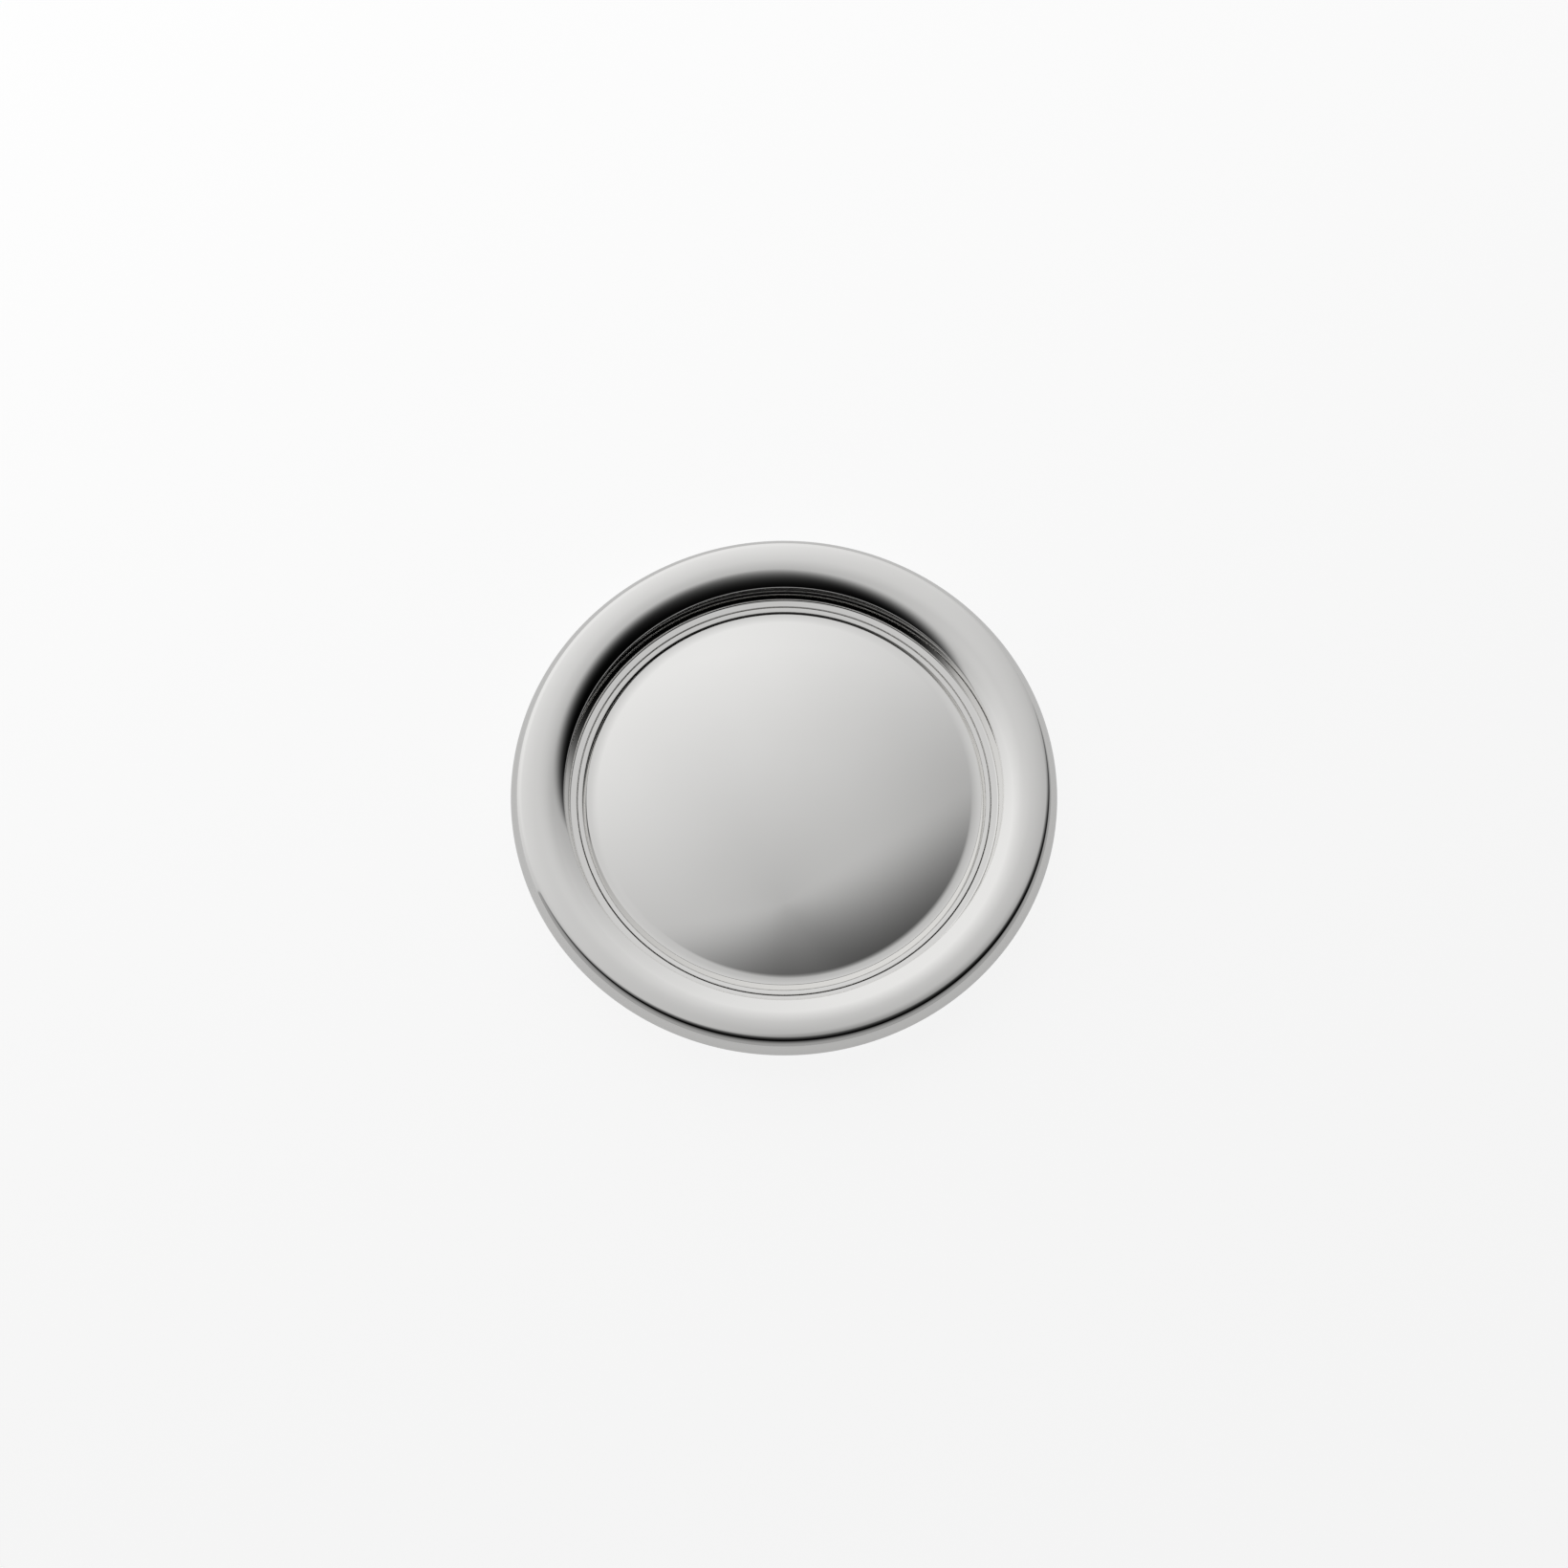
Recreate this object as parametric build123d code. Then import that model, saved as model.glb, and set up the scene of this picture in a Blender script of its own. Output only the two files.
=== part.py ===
from build123d import *
import os
from math import cos, radians, sin, tan

# Paten plate: a shallow round altar plate with a full, rounded rim and a gently domed centre.
# Millimetres, +Z up. The origin is on the axis, in the plane that the foot stands on.
# Every piece is round about Z, so each is one section, drawn at (radius, height) and turned.

# ---- driving dimensions ----
PLATE_RADIUS = 75.0          # outermost line of the rim
RIM_BASE_RADIUS = 58.7       # where the ledge starts to curve up into the inner wall
SEAM_RADIUS = 57.0           # hairline seam between the rim's ledge and the well plate
SEAM_GAP = 0.4               # its open width
SHEET = 0.8                  # spun brass sheet of the rim, and of the well plate's dome
SOLDER = 0.1                 # thickness of the soldered joints

FOOT_HEIGHT = 2.0            # below the foot ring's flange
FOOT_INNER, FOOT_OUTER = 53.4, 55.8
FOOT_EDGE = 0.6              # rounding of the foot's standing edge
FLANGE_INNER, FLANGE_OUTER = 51.6, 58.3
FLANGE_THICKNESS = 0.8       # under the well plate; it steps up to carry the rim

LEDGE_SLOPE = 9.0            # degrees, the ledge rises outwards
LEDGE_FILLET = 0.6           # between the ledge and the inner wall
WALL_SLOPE = 82.0            # degrees
WALL_RUN = 5.5               # the inner wall's straight length
CORNER = ((1.1, 37.0), (13.3, 3.5))          # top of the wall: radius, slope where the arc ends
CROWN_END = -6.0                             # slope where the broad crown ends
SHOULDER = ((3.4, -18.0), (1.4, -41.0))      # the turn on the outer side, as at the corner
SIDE_RADIUS = 6.7            # the outer side, down to upright

WIRE_RADIUS = 0.8            # stiffening wire in the rolled edge
WIRE_FIT = 0.02              # clearance round the wire
ROLL_TURN = 250.0            # degrees of sheet curled round the wire

DOME_RADIUS = 251.5          # sphere of the domed centre
DOME_SLOPE = 11.8            # degrees, where the dome ends
BRIM_SLOPE = 5.0             # degrees, the brim round the dome ends rising by this much
BRIM_RADIUS = 54.3           # where the brim meets the rounding of its edge
BRIM_RISE = 1.0              # the brim's end above the seam
EDGE_ROUND = 0.2
EDGE_SLOPE = 45.0            # degrees, the bevelled side under the brim's edge
CREASE_ROUND = 0.1           # at the foot of that side
COLLAR_SLOPE = 10.0          # degrees, the collar's start; it levels off towards the seam
COLLAR_END = 7.0
WELL_FLANGE = 1.4            # thickness of the well plate at the seam


def deg_sin(angle):
    return sin(radians(angle))


def deg_cos(angle):
    return cos(radians(angle))


def at(radius, height):
    """A point of a section, in the XZ plane."""
    return (radius, 0, height)


def run(length):
    return ("run", length)


def turn(radius, angle):
    """An arc: a positive angle turns the line upwards, a negative one downwards."""
    return ("turn", radius, angle)


def follow(start, heading, steps):
    """Draws tangent runs and arcs from start. Gives the edges and the end point and heading."""
    edges = []
    x, z = start
    for kind, size, *angle in steps:
        if kind == "run":
            end = (x + size * deg_cos(heading), z + size * deg_sin(heading))
            edges.append(Line(at(x, z), at(*end)))
        else:
            side = 1 if angle[0] > 0 else -1
            centre = (x - side * size * deg_sin(heading), z + side * size * deg_cos(heading))

            def on_arc(direction):
                return (
                    centre[0] + side * size * deg_sin(direction),
                    centre[1] - side * size * deg_cos(direction),
                )

            middle = on_arc(heading + angle[0] / 2)
            heading += angle[0]
            end = on_arc(heading)
            edges.append(ThreePointArc(at(x, z), at(*middle), at(*end)))
        x, z = end
    return edges, (x, z), heading


def reach(steps, heading=0.0):
    """How far outwards and upwards the steps lead."""
    _, end, _ = follow((0.0, 0.0), heading, steps)
    return end


def turned(edges):
    return revolve(make_face(edges), Axis.Z, 360)


def outline(*corners):
    return Polyline(*[at(*corner) for corner in corners], close=True)


# ---- heights of the seats, from the table up ----
well_seat = FOOT_HEIGHT + FLANGE_THICKNESS
well_bottom = well_seat + SOLDER
seam_top = well_bottom + WELL_FLANGE
ledge_start = SEAM_RADIUS + SEAM_GAP / 2
well_end = SEAM_RADIUS - SEAM_GAP / 2


def ledge_under(radius):
    """Height of the ledge's underside."""
    return seam_top + (radius - ledge_start) * tan(radians(LEDGE_SLOPE)) - SHEET / deg_cos(LEDGE_SLOPE)


rim_seat = ledge_under(ledge_start) - SOLDER


# ---- rim: a spun ring, from the ledge over the crown to the rolled edge ----
def curves(slope, arcs):
    """Arcs in a row from a first slope, each given as (radius, slope where it ends)."""
    made = []
    for radius, end_slope in arcs:
        made.append(turn(radius, end_slope - slope))
        slope = end_slope
    return made


def rim_steps():
    inner = [
        run((RIM_BASE_RADIUS - ledge_start) / deg_cos(LEDGE_SLOPE)),
        turn(LEDGE_FILLET, WALL_SLOPE - LEDGE_SLOPE),
        run(WALL_RUN),
    ] + curves(WALL_SLOPE, CORNER)
    outer = curves(CROWN_END, SHOULDER + ((SIDE_RADIUS, -90.0),))
    inner_reach = reach(inner, LEDGE_SLOPE)[0]
    outer_reach = reach(outer, CROWN_END)[0]
    crown_reach = PLATE_RADIUS - ledge_start - inner_reach - outer_reach
    crown_start = CORNER[-1][1]
    crown_radius = crown_reach / (deg_sin(crown_start) - deg_sin(CROWN_END))
    return inner + [turn(crown_radius, CROWN_END - crown_start)] + outer


def sheet(start, heading, steps, thickness):
    """A sheet turned about Z. steps are its upper line; the lower one keeps its distance."""
    upper, upper_end, _ = follow(start, heading, steps)
    lower_start = (start[0] + thickness * deg_sin(heading), start[1] - thickness * deg_cos(heading))
    lower_steps = []
    for step in steps:
        if step[0] == "turn":
            grow = thickness if step[2] > 0 else -thickness
            lower_steps.append(turn(step[1] + grow, step[2]))
        else:
            lower_steps.append(step)
    lower, lower_end, _ = follow(lower_start, heading, lower_steps)
    caps = [
        Line(at(*start), at(*lower_start)),
        Line(at(*upper_end), at(*lower_end)),
    ]
    return turned(upper + lower + caps)


rim_line = rim_steps()
roll_radius = WIRE_RADIUS + WIRE_FIT + SHEET
rim_start = (ledge_start, seam_top)
rim = sheet(rim_start, LEDGE_SLOPE, rim_line + [turn(roll_radius, -ROLL_TURN)], SHEET)

_, (edge_radius, edge_height), _ = follow(rim_start, LEDGE_SLOPE, rim_line)
edge_wire = Pos(0, 0, edge_height) * Torus(edge_radius - roll_radius, WIRE_RADIUS)


# ---- well plate: a dome with a low brim, bevelled down to a collar at the seam ----
dome_reach = DOME_RADIUS * deg_sin(DOME_SLOPE)
brim_curve = (BRIM_RADIUS - dome_reach) / (deg_sin(DOME_SLOPE) + deg_sin(BRIM_SLOPE))
dome_steps = [
    turn(DOME_RADIUS, -DOME_SLOPE),
    turn(brim_curve, DOME_SLOPE + BRIM_SLOPE),
]
edge_turn = [turn(EDGE_ROUND, -EDGE_SLOPE - BRIM_SLOPE)]
crease = [turn(CREASE_ROUND, EDGE_SLOPE + COLLAR_SLOPE)]
edge_reach, edge_drop = reach(edge_turn, BRIM_SLOPE)
crease_reach, crease_drop = reach(crease, -EDGE_SLOPE)


def collar_radius(side_run):
    collar_reach = (
        well_end - BRIM_RADIUS - edge_reach - crease_reach - side_run * deg_cos(EDGE_SLOPE)
    )
    return collar_reach / (deg_sin(COLLAR_SLOPE) - deg_sin(COLLAR_END))


# The collar's rise and the side's fall depend on each other in a straight line.
rise_per_radius = deg_cos(COLLAR_END) - deg_cos(COLLAR_SLOPE)
reach_per_radius = deg_sin(COLLAR_SLOPE) - deg_sin(COLLAR_END)
side_run = (
    BRIM_RISE + edge_drop + crease_drop + collar_radius(0) * rise_per_radius
) / (deg_sin(EDGE_SLOPE) + deg_cos(EDGE_SLOPE) * rise_per_radius / reach_per_radius)
upper_steps = (
    dome_steps
    + edge_turn
    + [run(side_run)]
    + crease
    + [turn(collar_radius(side_run), COLLAR_END - COLLAR_SLOPE)]
)
dome_top = seam_top - reach(upper_steps)[1]
upper_line, upper_end, _ = follow((0, dome_top), 0, upper_steps)

lower_steps = [
    turn(DOME_RADIUS - SHEET, -DOME_SLOPE),
    turn(2.0, -33.5),
    run(1.7),
]
lower_line, lower_end, lower_heading = follow((0, dome_top - SHEET), 0, lower_steps)
foot_curve = (lower_end[1] - well_bottom) / (1 - deg_cos(lower_heading))
foot_line, foot_end, _ = follow(lower_end, lower_heading, [turn(foot_curve, -lower_heading)])
well_plate = turned(
    upper_line
    + lower_line
    + foot_line
    + [
        Line(at(0, dome_top), at(0, dome_top - SHEET)),
        Line(at(*foot_end), at(well_end, well_bottom)),
        Line(at(well_end, well_bottom), at(*upper_end)),
    ]
)


# ---- foot ring: a turned ring, its flange stepped to carry the rim and the well plate ----
foot_section = make_face(
    outline(
        (FLANGE_INNER, FOOT_HEIGHT),
        (FOOT_INNER, FOOT_HEIGHT),
        (FOOT_INNER, 0),
        (FOOT_OUTER, 0),
        (FOOT_OUTER, FOOT_HEIGHT),
        (FLANGE_OUTER, FOOT_HEIGHT),
        (FLANGE_OUTER, rim_seat),
        (SEAM_RADIUS, rim_seat),
        (SEAM_RADIUS, well_seat),
        (FLANGE_INNER, well_seat),
    )
)
standing_corners = foot_section.vertices().group_by(Axis.Z)[0]
foot_ring = revolve(fillet(standing_corners, FOOT_EDGE), Axis.Z, 360)


# ---- soldered joints between the flange and the two sheets ----
solder_start = ledge_start + SHEET * deg_sin(LEDGE_SLOPE)
rim_solder = turned(
    outline(
        (solder_start, rim_seat),
        (FLANGE_OUTER, rim_seat),
        (FLANGE_OUTER, ledge_under(FLANGE_OUTER)),
        (solder_start, ledge_under(solder_start)),
    )
)
well_solder = turned(
    outline(
        (foot_end[0], well_seat),
        (well_end, well_seat),
        (well_end, well_bottom),
        (foot_end[0], well_bottom),
    )
)


os.makedirs("parts", exist_ok=True)
for name, piece in {
    "rim": rim,
    "edge_wire": edge_wire,
    "well_plate": well_plate,
    "foot_ring": foot_ring,
    "rim_solder": rim_solder,
    "well_solder": well_solder,
}.items():
    export_step(piece, f"parts/{name}.step")
    box = piece.bounding_box()
    print(name, round(piece.volume), "mm3, top", round(box.max.Z, 2), "outer", round(box.max.X, 2))
print("seam", round(seam_top, 3), "dome", round(dome_top, 3), "edge", round(edge_height, 3))
print("foot of dome", [round(v, 3) for v in foot_end], "brim curve", round(brim_curve, 2))
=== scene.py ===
import bpy
from math import atan2, cos, pi, radians, sin, tan
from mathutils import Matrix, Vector


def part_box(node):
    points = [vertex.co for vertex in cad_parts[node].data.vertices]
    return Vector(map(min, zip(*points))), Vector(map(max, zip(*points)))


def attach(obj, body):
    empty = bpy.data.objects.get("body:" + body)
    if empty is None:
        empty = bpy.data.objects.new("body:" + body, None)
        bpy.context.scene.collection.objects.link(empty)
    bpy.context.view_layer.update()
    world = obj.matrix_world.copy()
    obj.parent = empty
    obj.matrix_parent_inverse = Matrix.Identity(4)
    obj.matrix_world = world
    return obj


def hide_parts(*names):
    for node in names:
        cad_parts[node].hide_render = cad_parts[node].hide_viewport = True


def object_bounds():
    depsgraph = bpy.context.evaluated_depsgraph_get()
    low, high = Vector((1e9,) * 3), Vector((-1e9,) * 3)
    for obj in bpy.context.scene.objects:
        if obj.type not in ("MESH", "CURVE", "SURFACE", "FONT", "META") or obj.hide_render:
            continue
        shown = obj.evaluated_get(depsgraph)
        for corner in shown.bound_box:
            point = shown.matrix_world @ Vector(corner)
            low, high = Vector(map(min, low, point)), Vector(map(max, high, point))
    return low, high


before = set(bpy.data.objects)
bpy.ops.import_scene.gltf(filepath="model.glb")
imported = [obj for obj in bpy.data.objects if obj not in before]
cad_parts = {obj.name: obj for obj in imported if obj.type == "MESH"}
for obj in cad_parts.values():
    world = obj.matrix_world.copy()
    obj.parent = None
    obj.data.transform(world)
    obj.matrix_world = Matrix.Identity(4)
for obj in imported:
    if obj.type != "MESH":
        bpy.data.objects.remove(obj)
cad_low, cad_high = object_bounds()

MM = 0.001

# ---- sizes of the round sections, in millimetres, the same as the CAD model's ----
PLATE_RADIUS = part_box("rim")[1].x / MM
RIM_BASE_RADIUS = 58.7
SEAM_RADIUS, SEAM_GAP = 57.0, 0.4
SHEET = 0.8
SOLDER = 0.1

LEDGE_SLOPE, LEDGE_FILLET = 9.0, 0.6
WALL_SLOPE, WALL_RUN = 82.0, 5.5
CORNER = ((1.1, 37.0), (13.3, 3.5))
CROWN_END = -6.0
SHOULDER = ((3.4, -18.0), (1.4, -41.0))
SIDE_RADIUS = 6.7
WIRE_RADIUS, WIRE_FIT = 0.8, 0.02
ROLL_TURN = 250.0

DOME_RADIUS, DOME_SLOPE = 251.5, 11.8
BRIM_SLOPE, BRIM_RADIUS, BRIM_RISE = 5.0, 54.3, 1.0
EDGE_ROUND, EDGE_SLOPE = 0.2, 45.0
CREASE_ROUND = 0.1
COLLAR_SLOPE, COLLAR_END = 10.0, 7.0
BEVEL_FOOT = 55.6           # radius of the crease at the foot of the bevel
WELL_FLANGE = 1.4
UNDER_TURN, UNDER_DROP, UNDER_RUN = 2.0, 33.5, 1.7

FOOT_HEIGHT = 2.0
FOOT_INNER, FOOT_OUTER = 53.4, 55.8
FOOT_EDGE = 0.6
FLANGE_INNER, FLANGE_OUTER = 51.6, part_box("foot_ring")[1].x / MM
FLANGE_THICKNESS = 0.8

# ---- how finely the round pieces are made ----
SIDES = 256                 # round the axis
ARC_STEP = 4.0              # degrees of an arc per point
LONGEST_STEP = 1.5          # millimetres of a line or arc per point
LIP = 0.07                  # rounding of the cut edges at the seam
EDGE_BREAK = 0.12           # rounding of the foot ring's other edges
FOOT_ROOT = 0.25            # rounding between the foot and its flange
SOLDER_EDGE = 0.04          # rounding of the solder's edges

# ---- camera and surroundings ----
CAMERA_ELEVATION = 69.7
CAMERA_DISTANCE = 0.999
LENS, SENSOR = 83.2, 36.0
FRAME_DROP = 14.0 / 1640.0  # the plate sits this share of the frame below its middle
FLOOR_HALF = 3.0
FLOOR_GAP = 0.0001          # between the floor and the foot
FLOOR_SEEN = (0.17, 0.87)   # grey and glow of the floor, as the camera sees it
FLOOR_REFLECTED = (0.3, 0.42)
TENT_RADIUS = 0.47
TOP_LEVEL = 0.505           # brightness straight overhead
RISE = 0.0086               # brighter by this much for each degree down from the top
RISE_END = 46.0             # degrees from the top
WINDOW_AZIMUTH = 121.0      # the brightest side
WINDOW_NEAR, WINDOW_FAR = 14.0, 115.0        # degrees from it, where the fading starts and ends
WINDOW_LOSS = 0.59          # share of the light lost opposite the window
DARK_AZIMUTH = -68.0        # middle of the tent's dark side
DARK_REACH = 104.0          # degrees, either side of that
DARK_SPREAD = 1.23          # degrees of full dark either side, per degree down from the top
DARK_SPREAD_END = 98.0
DARK_DEPTH = 0.116          # how fast it darkens, per degree down from the top
DEEPEST = 6.0
HORIZON = 0.36              # light that the dark side keeps low down
HORIZON_START, HORIZON_END = 62.0, 84.0      # degrees from the top


def deg_sin(angle):
    return sin(radians(angle))


def deg_cos(angle):
    return cos(radians(angle))


# ---- sections: lines of (radius, height, heading), with the outside on their left ----
def run(length):
    return ("run", length)


def turn(radius, angle):
    """An arc: a positive angle turns to the left, a negative one to the right."""
    return ("turn", radius, angle)


def follow(start, heading, steps):
    x, z = start
    points = [(x, z, heading)]
    for kind, size, *angle in steps:
        if kind == "run":
            pieces = max(1, int(size / LONGEST_STEP))
            for i in range(1, pieces + 1):
                s = size * i / pieces
                points.append((x + s * deg_cos(heading), z + s * deg_sin(heading), heading))
        else:
            side = 1 if angle[0] > 0 else -1
            centre_x = x - side * size * deg_sin(heading)
            centre_z = z + side * size * deg_cos(heading)
            length = size * abs(radians(angle[0]))
            pieces = max(3, int(abs(angle[0]) / ARC_STEP), int(length / LONGEST_STEP))
            for i in range(1, pieces + 1):
                to = heading + angle[0] * i / pieces
                point_x = centre_x + side * size * deg_sin(to)
                points.append((point_x, centre_z - side * size * deg_cos(to), to))
        x, z, heading = points[-1]
    return points


def reach(steps, heading=0.0):
    x, z, _ = follow((0.0, 0.0), heading, steps)[-1]
    return x, z


def back_along(steps, thickness):
    """The way back along a sheet's other side, for the same steps."""
    made = []
    for kind, size, *angle in reversed(steps):
        if kind == "run":
            made.append(run(size))
        else:
            grow = thickness if angle[0] > 0 else -thickness
            made.append(turn(size + grow, -angle[0]))
    return made


def polygon(corners, radii):
    """A closed line of points round corners given clockwise, each rounded by its radius."""
    points = []
    count = len(corners)
    for i in range(count):
        here = Vector(corners[i])
        before = (Vector(corners[i - 1]) - here).normalized()
        after = (Vector(corners[(i + 1) % count]) - here).normalized()
        bend = pi - before.angle(after)
        turning = before.x * after.y - before.y * after.x
        side = -1 if turning > 0 else 1
        setback = radii[i] * tan(bend / 2)
        start = here + before * setback
        heading = atan2(-before.y, -before.x) * 180 / pi
        points += follow(start, heading, [turn(radii[i], side * bend * 180 / pi)])
    x, z, _ = points[0]
    points.append((x, z, points[-1][2]))
    return points


def normal_of(heading, angle):
    level = -deg_sin(heading)
    return (level * cos(angle), level * sin(angle), deg_cos(heading))


def lathe(name, stretches, materials):
    """Turns a closed section about Z. A stretch is (points, material number); the surface is
    smooth along a stretch and creased where the headings of two stretches differ."""
    vertices = []
    rings = []
    owners = []
    for points, number in stretches:
        for i, point in enumerate(points[:-1]):
            radius, height, heading = point
            owners.append((number, heading, points[i + 1][2]))
            if radius < 1e-6:
                rings.append([len(vertices)] * SIDES)
                vertices.append((0.0, 0.0, height * MM))
            else:
                rings.append([len(vertices) + k for k in range(SIDES)])
                for k in range(SIDES):
                    angle = 2 * pi * k / SIDES
                    x = radius * MM * cos(angle)
                    y = radius * MM * sin(angle)
                    vertices.append((x, y, height * MM))
    last_points = stretches[-1][0]
    if last_points[-1][0] < 1e-6 and stretches[0][0][0][0] < 1e-6:
        rings.append([len(vertices)] * SIDES)
        vertices.append((0.0, 0.0, last_points[-1][1] * MM))
    faces = []
    numbers = []
    normals = []
    for i, (number, heading, next_heading) in enumerate(owners):
        here = rings[i]
        ahead = rings[(i + 1) % len(rings)]
        for k in range(SIDES):
            k2 = (k + 1) % SIDES
            angle, angle2 = 2 * pi * k / SIDES, 2 * pi * k2 / SIDES
            corners = [
                (here[k], normal_of(heading, angle)),
                (ahead[k], normal_of(next_heading, angle)),
                (ahead[k2], normal_of(next_heading, angle2)),
                (here[k2], normal_of(heading, angle2)),
            ]
            if here[k] == here[k2]:
                corners.pop()
            elif ahead[k] == ahead[k2]:
                corners.pop(2)
            faces.append([v for v, _ in corners])
            normals += [n for _, n in corners]
            numbers.append(number)
    mesh = bpy.data.meshes.new(name)
    mesh.from_pydata(vertices, [], faces)
    for material in materials:
        mesh.materials.append(material)
    mesh.polygons.foreach_set("material_index", numbers)
    mesh.polygons.foreach_set("use_smooth", [True] * len(faces))
    mesh.update()
    mesh.normals_split_custom_set(normals)
    piece = bpy.data.objects.new(name, mesh)
    bpy.context.scene.collection.objects.link(piece)
    return piece


# ---- materials ----
class Shader:
    """A material's node tree, with short calls for the nodes that the materials share."""

    def __init__(self, name):
        self.material = bpy.data.materials.new(name)
        self.material.use_nodes = True
        self.tree = self.material.node_tree
        self.surface = self.tree.nodes["Principled BSDF"]
        place = self.add("ShaderNodeTexCoord").outputs["Object"]
        self.place = place
        self.axes = self.add("ShaderNodeSeparateXYZ", {0: place})
        x, y = self.axes.outputs[0], self.axes.outputs[1]
        squares = self.plus(self.times(x, x), self.times(y, y))
        self.radius = self.math("SQRT", squares)
        self.angle = self.math("ARCTAN2", y, x)
        self.height = self.axes.outputs[2]

    def add(self, kind, inputs=None, **settings):
        node = self.tree.nodes.new(kind)
        for key, value in settings.items():
            setattr(node, key, value)
        for key, value in (inputs or {}).items():
            self.feed(node.inputs[key], value)
        return node

    def feed(self, socket, value):
        if isinstance(value, bpy.types.NodeSocket):
            self.tree.links.new(value, socket)
        else:
            socket.default_value = value

    def math(self, operation, a, b=0.0, c=0.0):
        return self.add("ShaderNodeMath", {0: a, 1: b, 2: c}, operation=operation).outputs[0]

    def times(self, a, b):
        return self.math("MULTIPLY", a, b)

    def plus(self, a, b):
        return self.math("ADD", a, b)

    def ramp(self, value, low, high, out_low=0.0, out_high=1.0):
        """A smooth step of value, from low to high."""
        names = ("Value", "From Min", "From Max", "To Min", "To Max")
        inputs = dict(zip(names, (value, low, high, out_low, out_high)))
        return self.add("ShaderNodeMapRange", inputs, interpolation_type="SMOOTHSTEP").outputs[0]

    def noise(self, vector, scale, detail=2.0, roughness=0.5):
        inputs = {"Vector": vector, "Scale": scale, "Detail": detail, "Roughness": roughness}
        return self.add("ShaderNodeTexNoise", inputs).outputs["Fac"]

    def vector(self, x, y, z=0.0):
        return self.add("ShaderNodeCombineXYZ", {0: x, 1: y, 2: z}).outputs[0]

    def mix(self, share, a, b):
        node = self.add("ShaderNodeMix", data_type="RGBA")
        self.feed(node.inputs[0], share)
        self.feed(node.inputs[6], a)
        self.feed(node.inputs[7], b)
        return node.outputs[2]

    def turned_lines(self, per_metre, wander=0.3):
        """Fine rings round the axis, which fade in and out along their way round."""
        drift = self.times(self.noise(self.vector(self.angle, self.radius), 3.0), wander / per_metre)
        across = self.times(self.plus(self.radius, drift), per_metre)
        place = self.vector(across, self.times(self.angle, 1.2), self.times(self.height, per_metre))
        return self.noise(place, 1.0, 3.0, 0.6)

    def hairs(self, per_metre, per_radian, detail, roughness=0.5):
        """Short hairlines that lie round the axis."""
        place = self.vector(self.times(self.radius, per_metre), self.times(self.angle, per_radian))
        return self.noise(place, 1.0, detail, roughness)

    def brushed(self, amount):
        """Highlights drawn out across the marks of a lathe."""
        tangent = self.add("ShaderNodeTangent", direction_type="RADIAL", axis="Z")
        self.set(Anisotropic=amount, Tangent=tangent.outputs[0])

    def near_radius(self, radius, half_width):
        """1 at a radius in millimetres, falling to 0 at half_width from it."""
        away = self.math("ABSOLUTE", self.math("SUBTRACT", self.radius, radius * MM))
        return self.ramp(away, half_width * MM, 0.0)

    def bump(self, height, strength, distance):
        inputs = {"Height": height, "Strength": strength, "Distance": distance}
        return self.add("ShaderNodeBump", inputs).outputs[0]

    def set(self, **values):
        for key, value in values.items():
            self.feed(self.surface.inputs[key.replace("_", " ")], value)


SILVER = (0.885, 0.88, 0.868, 1.0)
SILVER_DULL = (0.80, 0.79, 0.77, 1.0)
# dark colour: tarnish in the solder's pits, and painted shade in the polished plate's seam and crease
TARNISH_AND_PAINTED_SHADE = (0.16, 0.15, 0.135, 1.0)
BRASS = (0.78, 0.60, 0.30, 1.0)
BRASS_DARK = (0.42, 0.30, 0.13, 1.0)
SOLDER_GREY = (0.56, 0.56, 0.54, 1.0)


def polished_silver():
    """Mirror-polished plate: faint buffing rings, hairline scratches, and painted shade: a dark colour
    laid in patches in the seam and in the crease at the foot of the bevel, which are also made rougher
    there.
    """
    s = Shader("silver_plate_polished")
    rings = s.turned_lines(2600.0)
    tone = s.noise(s.place, 38.0, 3.0)
    hair = s.ramp(s.hairs(5200.0, 2.5, 4.0, 0.7), 0.69, 0.78)
    # painted shade: a dark ring at the seam and one at the crease at the foot of the bevel, laid in
    # patches
    seam_and_crease_shade = s.math("MAXIMUM", s.near_radius(SEAM_RADIUS, 0.32), s.near_radius(BEVEL_FOOT, 0.2))
    patchy_painted_shade = s.times(seam_and_crease_shade, s.ramp(s.noise(s.place, 900.0, 4.0), 0.25, 0.75, 0.55, 1.0))
    cloudy = s.mix(s.ramp(tone, 0.3, 0.7), SILVER, SILVER_DULL)
    clean = s.mix(0.12, SILVER, cloudy)
    polish = s.plus(s.ramp(tone, 0.25, 0.75, 0.008, 0.018), s.times(hair, 0.02))
    s.set(
        Metallic=1.0,
        # the base colour carries the painted shade of the seam and the crease
        Base_Color=s.mix(s.times(patchy_painted_shade, 0.55), clean, TARNISH_AND_PAINTED_SHADE),
        Roughness=s.plus(polish, s.times(patchy_painted_shade, 0.25)),
        Normal=s.bump(s.plus(rings, s.times(hair, 0.6)), 0.03, 0.000003),
    )
    return s.material


def spun_silver():
    """The underside, plated over the spinning marks that nobody polished out."""
    s = Shader("silver_plate_spun")
    coarse = s.turned_lines(900.0, 0.6)
    fine = s.turned_lines(4200.0)
    cloud = s.noise(s.place, 55.0, 4.0)
    lines = s.plus(coarse, s.times(fine, 0.35))
    s.set(
        Metallic=1.0,
        Base_Color=s.mix(s.ramp(cloud, 0.3, 0.75), SILVER, SILVER_DULL),
        Roughness=s.ramp(fine, 0.2, 0.8, 0.16, 0.3),
        Normal=s.bump(lines, 0.35, 0.00002),
    )
    s.brushed(0.5)
    return s.material


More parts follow.
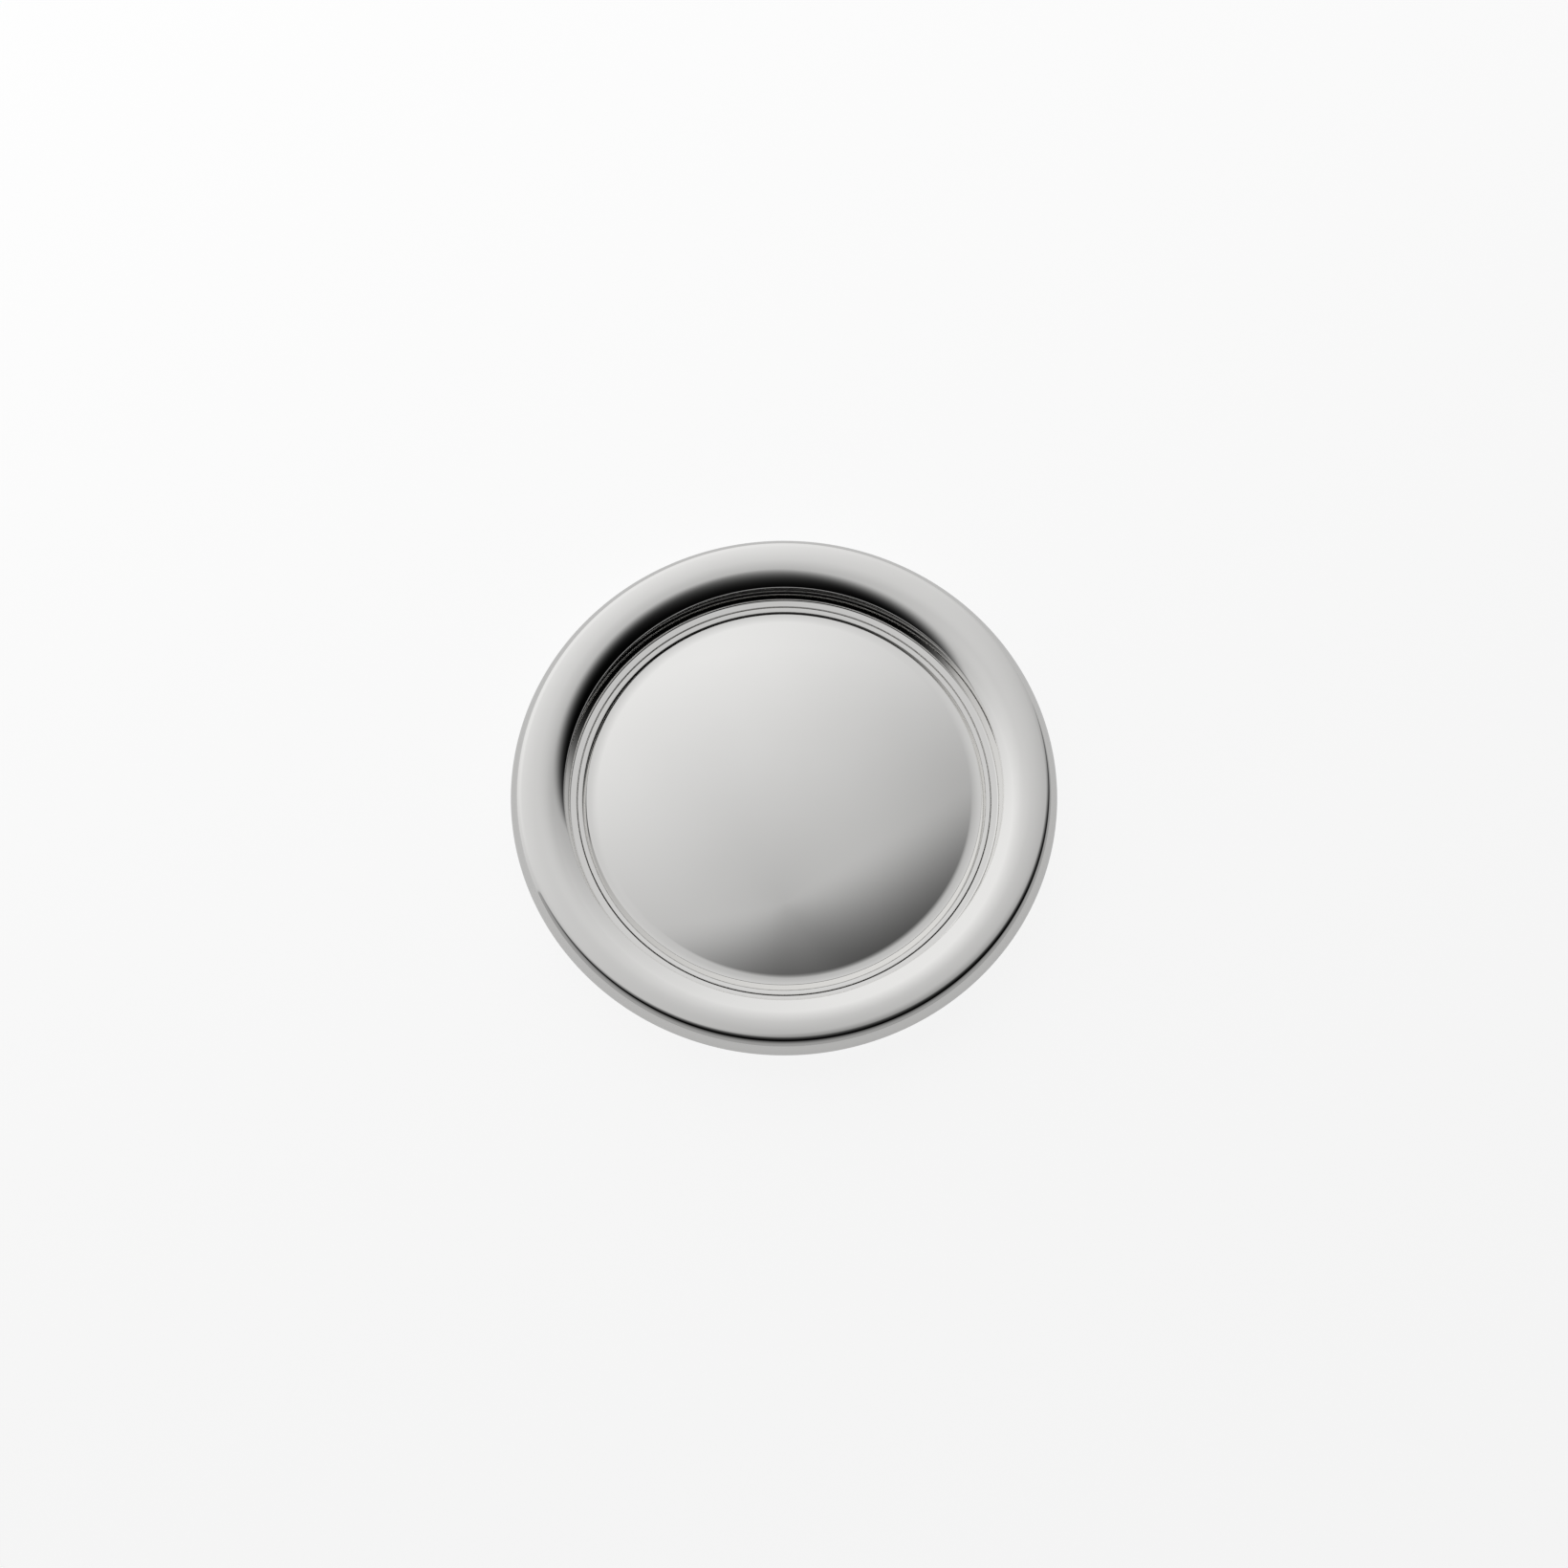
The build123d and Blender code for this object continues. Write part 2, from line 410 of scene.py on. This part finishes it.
def satin_silver():
    """The foot ring, turned and brushed, rubbed bright where it stands on the table."""
    s = Shader("silver_plate_satin")
    fine = s.turned_lines(6500.0)
    patches = s.ramp(s.noise(s.place, 420.0, 5.0), 0.35, 0.6)
    wear = s.times(s.ramp(s.height, 0.0006, 0.0), patches)
    s.set(
        Metallic=1.0,
        Base_Color=s.mix(wear, SILVER_DULL, SILVER),
        Roughness=s.math("SUBTRACT", s.ramp(fine, 0.2, 0.8, 0.26, 0.4), s.times(wear, 0.14)),
        Normal=s.bump(fine, 0.3, 0.00001),
    )
    s.brushed(0.6)
    return s.material


def brass_wire_metal():
    s = Shader("brass_drawn")
    lines = s.hairs(9000.0, 3.0, 3.0)
    brown = s.ramp(s.noise(s.place, 260.0, 5.0), 0.45, 0.7)
    s.set(
        Metallic=1.0,
        Base_Color=s.mix(s.times(brown, 0.7), BRASS, BRASS_DARK),
        Roughness=s.ramp(brown, 0.0, 1.0, 0.24, 0.48),
        Normal=s.bump(lines, 0.25, 0.00001),
    )
    return s.material


def solder_metal():
    s = Shader("silver_solder")
    ripple = s.noise(s.vector(s.times(s.angle, 55.0), s.times(s.radius, 700.0)), 1.0, 3.0)
    pits = s.noise(s.place, 2400.0, 3.0)
    s.set(
        Metallic=1.0,
        Base_Color=s.mix(s.ramp(pits, 0.5, 0.75), SOLDER_GREY, TARNISH_AND_PAINTED_SHADE),
        Roughness=s.ramp(ripple, 0.3, 0.7, 0.28, 0.45),
        Normal=s.bump(s.plus(ripple, s.times(pits, 0.4)), 0.4, 0.00004),
    )
    return s.material


polished = polished_silver()
spun = spun_silver()
satin = satin_silver()
brass = brass_wire_metal()
solder = solder_metal()


# ---- heights of the seats, from the table up ----
well_seat = FOOT_HEIGHT + FLANGE_THICKNESS
well_bottom = well_seat + SOLDER
seam_top = well_bottom + WELL_FLANGE
ledge_start = SEAM_RADIUS + SEAM_GAP / 2
well_end = SEAM_RADIUS - SEAM_GAP / 2


def ledge_under(radius):
    rise = (radius - ledge_start) * tan(radians(LEDGE_SLOPE))
    return seam_top + rise - SHEET / deg_cos(LEDGE_SLOPE)


rim_seat = ledge_under(ledge_start) - SOLDER


# ---- rim ----
def curves(first_slope, arcs):
    """Arcs in a row, each given as (radius, slope where it ends)."""
    made = []
    slope = first_slope
    for radius, end_slope in arcs:
        made.append(turn(radius, end_slope - slope))
        slope = end_slope
    return made


inner_steps = [
    run((RIM_BASE_RADIUS - ledge_start) / deg_cos(LEDGE_SLOPE)),
    turn(LEDGE_FILLET, WALL_SLOPE - LEDGE_SLOPE),
    run(WALL_RUN),
] + curves(WALL_SLOPE, CORNER)
outer_steps = curves(CROWN_END, SHOULDER + ((SIDE_RADIUS, -90.0),))
crown_start = CORNER[-1][1]
crown_reach = (
    PLATE_RADIUS - ledge_start - reach(inner_steps, LEDGE_SLOPE)[0] - reach(outer_steps, CROWN_END)[0]
)
crown_radius = crown_reach / (deg_sin(crown_start) - deg_sin(CROWN_END))
roll_radius = WIRE_RADIUS + WIRE_FIT + SHEET
rim_steps = inner_steps + [turn(crown_radius, CROWN_END - crown_start)] + outer_steps
_, edge_height = reach(rim_steps, LEDGE_SLOPE)
edge_height += seam_top
rolled_steps = rim_steps + [turn(roll_radius, -ROLL_TURN)]

cut_start = (ledge_start + SHEET * deg_sin(LEDGE_SLOPE), seam_top - SHEET * deg_cos(LEDGE_SLOPE))
cut_edge = [run(SHEET - LIP), turn(LIP, -90.0)]
shortened = [run(rolled_steps[0][1] - LIP)] + rolled_steps[1:]
rim_top = follow(cut_start, LEDGE_SLOPE + 90, cut_edge + shortened + [turn(SHEET / 2, -180.0)])
rim_under = follow(rim_top[-1][:2], rim_top[-1][2], back_along(rolled_steps, SHEET))
rim_piece = lathe("rim_shell", [(rim_top, 0), (rim_under, 1)], [polished, spun])


# ---- well plate ----
dome_reach = DOME_RADIUS * deg_sin(DOME_SLOPE)
brim_curve = (BRIM_RADIUS - dome_reach) / (deg_sin(DOME_SLOPE) + deg_sin(BRIM_SLOPE))
dome_steps = [turn(DOME_RADIUS, -DOME_SLOPE), turn(brim_curve, DOME_SLOPE + BRIM_SLOPE)]
edge_turn = [turn(EDGE_ROUND, -EDGE_SLOPE - BRIM_SLOPE)]
crease = [turn(CREASE_ROUND, EDGE_SLOPE + COLLAR_SLOPE)]
edge_reach, edge_drop = reach(edge_turn, BRIM_SLOPE)
crease_reach, crease_drop = reach(crease, -EDGE_SLOPE)
rise_per_radius = deg_cos(COLLAR_END) - deg_cos(COLLAR_SLOPE)
reach_per_radius = deg_sin(COLLAR_SLOPE) - deg_sin(COLLAR_END)
level_room = well_end - BRIM_RADIUS - edge_reach - crease_reach
side_run = (
    BRIM_RISE + edge_drop + crease_drop + level_room / reach_per_radius * rise_per_radius
) / (deg_sin(EDGE_SLOPE) + deg_cos(EDGE_SLOPE) * rise_per_radius / reach_per_radius)
collar_radius = (level_room - side_run * deg_cos(EDGE_SLOPE)) / reach_per_radius
upper_steps = (
    dome_steps
    + edge_turn
    + [run(side_run)]
    + crease
    + [turn(collar_radius, COLLAR_END - COLLAR_SLOPE)]
)
dome_top = seam_top - reach(upper_steps)[1]
under_steps = [turn(DOME_RADIUS - SHEET, -DOME_SLOPE), turn(UNDER_TURN, -UNDER_DROP), run(UNDER_RUN)]
under_slope = DOME_SLOPE + UNDER_DROP
under_x, under_z = reach(under_steps)
under_end = (under_x, dome_top - SHEET + under_z)
foot_curve = (under_end[1] - well_bottom) / (1 - deg_cos(under_slope))
flat_start = under_end[0] + foot_curve * deg_sin(under_slope)
under_all = under_steps + [turn(foot_curve, under_slope)]

well_top = follow((0.0, dome_top), 0.0, upper_steps + [turn(LIP, -90.0 - COLLAR_END)])
lip_x, lip_z, _ = well_top[-1]
side_steps = [run(lip_z - well_bottom - EDGE_BREAK), turn(EDGE_BREAK, -90.0)]
well_side = follow((lip_x, lip_z), -90.0, side_steps)
under_start = well_side[-1]
flat_run = [run(under_start[0] - flat_start)]
well_under = follow(under_start[:2], -180.0, flat_run + back_along(under_all, 0.0))
well_under[-1] = (0.0, well_under[-1][1], -180.0)
well_piece = lathe("well_plate_shell", [(well_top, 0), (well_side, 1), (well_under, 1)], [polished, spun])


# ---- foot ring, edge wire and solder ----
foot_corners = [
    (FLANGE_INNER, FOOT_HEIGHT, EDGE_BREAK),
    (FLANGE_INNER, well_seat, EDGE_BREAK),
    (SEAM_RADIUS, well_seat, EDGE_BREAK),
    (SEAM_RADIUS, rim_seat, EDGE_BREAK),
    (FLANGE_OUTER, rim_seat, EDGE_BREAK),
    (FLANGE_OUTER, FOOT_HEIGHT, EDGE_BREAK),
    (FOOT_OUTER, FOOT_HEIGHT, FOOT_ROOT),
    (FOOT_OUTER, 0.0, FOOT_EDGE),
    (FOOT_INNER, 0.0, FOOT_EDGE),
    (FOOT_INNER, FOOT_HEIGHT, FOOT_ROOT),
]


def ring_piece(name, corners, material):
    points = polygon([c[:2] for c in corners], [c[2] for c in corners])
    return lathe(name, [(points, 0)], [material])


foot_piece = ring_piece("foot_ring_turned", foot_corners, satin)

wire_middle = PLATE_RADIUS - roll_radius
wire_line = follow((wire_middle, edge_height + WIRE_RADIUS), 0.0, [turn(WIRE_RADIUS, -360.0)])
wire_piece = lathe("edge_wire_drawn", [(wire_line, 0)], [brass])


def solder_piece(name, low, inner, outer):
    """A soldered joint. inner and outer are the (radius, height) of its upper corners."""
    corners = [
        (inner[0], low, SOLDER_EDGE),
        (*inner, SOLDER_EDGE),
        (*outer, SOLDER_EDGE),
        (outer[0], low, SOLDER_EDGE),
    ]
    return ring_piece(name, corners, solder)


rim_solder_inner = (cut_start[0], ledge_under(cut_start[0]))
rim_solder_outer = (FLANGE_OUTER, ledge_under(FLANGE_OUTER))
rim_solder_piece = solder_piece("rim_solder_joint", rim_seat, rim_solder_inner, rim_solder_outer)
well_solder_inner = (flat_start, well_bottom)
well_solder_outer = (well_end, well_bottom)
well_solder_piece = solder_piece("well_solder_joint", well_seat, well_solder_inner, well_solder_outer)

for piece, node, slot in (
    (rim_piece, "rim", "silver_plate"),
    (well_piece, "well_plate", "silver_plate"),
    (foot_piece, "foot_ring", "silver_plate_satin"),
    (wire_piece, "edge_wire", "brass_wire"),
    (rim_solder_piece, "rim_solder", "silver_solder"),
    (well_solder_piece, "well_solder", "silver_solder"),
):
    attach(piece, "root")
    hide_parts(node)


# ---- floor ----
def plane(name, half, height, material):
    mesh = bpy.data.meshes.new(name)
    corners = [(-half, -half, height), (half, -half, height), (half, half, height), (-half, half, height)]
    mesh.from_pydata(corners, [], [(0, 1, 2, 3)])
    mesh.materials.append(material)
    made = bpy.data.objects.new(name, mesh)
    bpy.context.scene.collection.objects.link(made)
    return made


def grey(level):
    return (level, level, level, 1.0)


def floor_material():
    """Matt paper-white, lifted for what the camera sees of it directly."""
    s = Shader("floor_white")
    grain = s.noise(s.place, 700.0, 3.0)
    seen = s.add("ShaderNodeLightPath").outputs["Is Camera Ray"]
    s.set(
        Base_Color=s.mix(seen, grey(FLOOR_REFLECTED[0]), grey(FLOOR_SEEN[0])),
        Roughness=0.95,
        Specular_IOR_Level=0.1,
        Normal=s.bump(grain, 0.05, 0.0002),
        Emission_Color=grey(1.0),
        Emission_Strength=s.ramp(seen, 0.0, 1.0, FLOOR_REFLECTED[1], FLOOR_SEEN[1]),
    )
    return s.material


plane("floor", FLOOR_HALF, cad_low.z - FLOOR_GAP, floor_material())


# ---- light tent: a bright dome round the plate, with a dark side at the front right ----
def tent_material():
    s = Shader("light_tent")
    geometry = s.add("ShaderNodeNewGeometry").outputs["Position"]
    outward = s.add("ShaderNodeVectorMath", {0: geometry}, operation="NORMALIZE").outputs[0]
    axes = s.add("ShaderNodeSeparateXYZ", {0: outward})
    x, y, z = axes.outputs
    polar = s.times(s.math("ARCCOSINE", z), 180 / pi)

    def away_from(azimuth):
        """How far round the axis a point of the tent is from an azimuth, in degrees."""
        along = s.plus(s.times(x, deg_cos(azimuth)), s.times(y, deg_sin(azimuth)))
        across = s.math("SUBTRACT", s.times(y, deg_cos(azimuth)), s.times(x, deg_sin(azimuth)))
        return s.times(s.math("ABSOLUTE", s.math("ARCTAN2", across, along)), 180 / pi)

    full_dark = s.math("MINIMUM", s.times(polar, DARK_SPREAD), DARK_SPREAD_END)
    dark_side = s.ramp(away_from(DARK_AZIMUTH), DARK_REACH, full_dark)
    depth = s.math("MINIMUM", s.times(polar, DARK_DEPTH), DEEPEST)
    shade = s.math("EXPONENT", s.times(s.times(dark_side, depth), -1.0))
    away = s.ramp(away_from(WINDOW_AZIMUTH), WINDOW_NEAR, WINDOW_FAR)
    loss = s.times(away, s.ramp(polar, 0.0, RISE_END, 0.0, WINDOW_LOSS))
    overhead = s.plus(s.times(s.math("MINIMUM", polar, RISE_END), RISE), TOP_LEVEL)
    bright = s.times(overhead, s.math("SUBTRACT", 1.0, loss))
    horizon = s.ramp(polar, HORIZON_START, HORIZON_END, 0.0, HORIZON)
    level = s.math("MAXIMUM", s.times(bright, shade), horizon)
    s.set(
        Base_Color=grey(0.0),
        Specular_IOR_Level=0.0,
        Emission_Color=grey(1.0),
        Emission_Strength=level,
    )
    return s.material


bpy.ops.mesh.primitive_uv_sphere_add(segments=96, ring_count=64, radius=TENT_RADIUS)
tent = bpy.context.object
tent.name = "light_tent"
tent.data.materials.append(tent_material())
tent.visible_camera = False
tent.visible_shadow = False

world = bpy.data.worlds.new("studio")
bpy.context.scene.world = world
world.use_nodes = True
world.node_tree.nodes["Background"].inputs["Color"].default_value = grey(0.9)

# ---- camera ----
camera_data = bpy.data.cameras.new("camera")
camera_data.lens = LENS
camera_data.sensor_width = SENSOR
camera_data.shift_y = FRAME_DROP
camera = bpy.data.objects.new("camera", camera_data)
bpy.context.scene.collection.objects.link(camera)
target = Vector((0.0, 0.0, seam_top * MM))
backward = Vector((0.0, -deg_cos(CAMERA_ELEVATION), deg_sin(CAMERA_ELEVATION)))
camera.location = target + backward * CAMERA_DISTANCE
camera.rotation_mode = "QUATERNION"
camera.rotation_quaternion = (-backward).to_track_quat("-Z", "Y")
bpy.context.scene.camera = camera
bpy.context.scene.view_settings.view_transform = "Standard"
